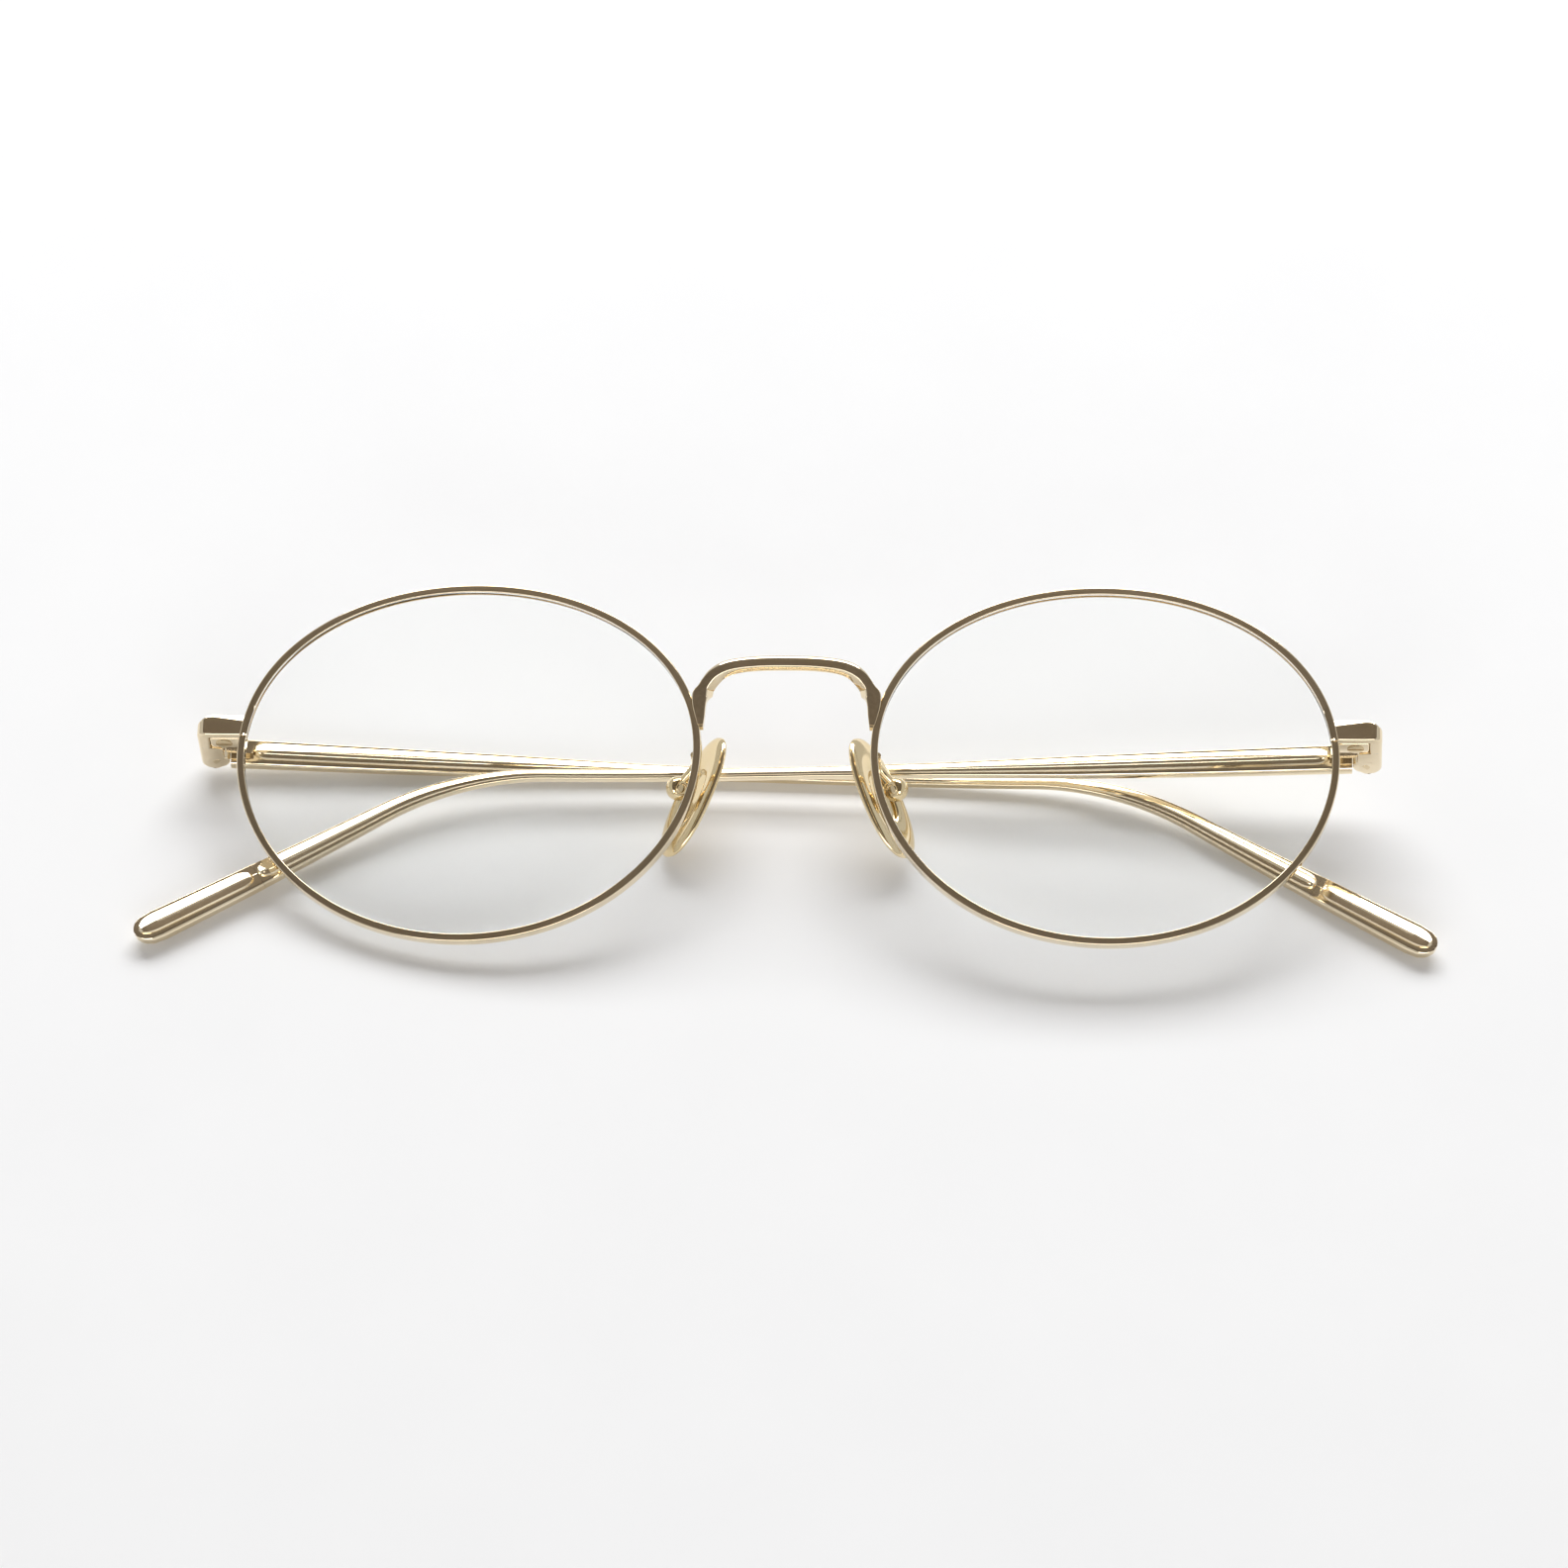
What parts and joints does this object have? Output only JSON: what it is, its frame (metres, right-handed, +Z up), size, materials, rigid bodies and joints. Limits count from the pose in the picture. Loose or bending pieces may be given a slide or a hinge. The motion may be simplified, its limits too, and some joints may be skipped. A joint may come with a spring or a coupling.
{
  "type": "eyeglasses",
  "caption": "Thin oval metal-rim eyeglasses lying folded, with clear lenses, rocking nose pads, and temples that open on screw hinges.",
  "frame": {"origin": "centre of the bounding box's base, on the surface that the folded glasses lie on", "axes": "+X along the front towards the wearer's left temple hinge, +Y from the lens bottoms towards the bridge, +Z up from the surface"},
  "size_m": [0.1462, 0.0404, 0.0213],
  "materials": {
    "frame_gold": "polished pale gold plating",
    "temple_gold": "polished pale gold plating with finely brushed inner faces",
    "pad_gold": "polished gold plating",
    "screw_steel": "gold plated screw",
    "lens": "clear, polished"
  },
  "bodies": {
    "front": {"bridge": "frame_gold", "rim_left": "frame_gold", "rim_right": "frame_gold", "lens_left": "lens", "lens_right": "lens", "end_piece_left": "frame_gold", "end_piece_right": "frame_gold", "rim_block_upper_left": "frame_gold", "rim_block_upper_right": "frame_gold", "rim_block_lower_left": "frame_gold", "rim_block_lower_right": "frame_gold", "rim_screw_left": "screw_steel", "rim_screw_right": "screw_steel", "hinge_screw_left": "screw_steel", "hinge_screw_right": "screw_steel", "pad_arm_left": "frame_gold", "pad_arm_right": "frame_gold", "pad_box_left": "pad_gold", "pad_box_right": "pad_gold", "pad_screw_left": "screw_steel", "pad_screw_right": "screw_steel"},
    "temple_left": {"temple_left": "temple_gold", "temple_tip_left": "temple_gold", "hinge_tongue_left": "temple_gold"},
    "nose_pad_left": {"nose_pad_left": "pad_gold"},
    "temple_right": {"temple_right": "temple_gold", "temple_tip_right": "temple_gold", "hinge_tongue_right": "temple_gold"},
    "nose_pad_right": {"nose_pad_right": "pad_gold"}
  },
  "joints": [
    {"name": "temple_left_hinge", "type": "hinge", "parent": "front", "child": "temple_left", "pos_m": [-0.06543, 0.00735, 0.00294], "axis": [-0.0086, 0.9728, 0.2316], "range_deg": [0, 88.7]},
    {"name": "temple_right_hinge", "type": "hinge", "parent": "front", "child": "temple_right", "pos_m": [0.06468, 0.00735, 0.00776], "axis": [0.0086, -0.9728, -0.2316], "range_deg": [0, 91.2]},
    {"name": "nose_pad_left_rock", "type": "hinge", "parent": "front", "child": "nose_pad_left", "pos_m": [-0.0129, 0.00023, 0.00704], "axis": [0.5157, -0.6026, 0.6091], "range_deg": [-8, 8]},
    {"name": "nose_pad_right_rock", "type": "hinge", "parent": "front", "child": "nose_pad_right", "pos_m": [0.012, 0.00023, 0.00796], "axis": [-0.5593, -0.6026, 0.5693], "range_deg": [-8, 8]}
  ]
}
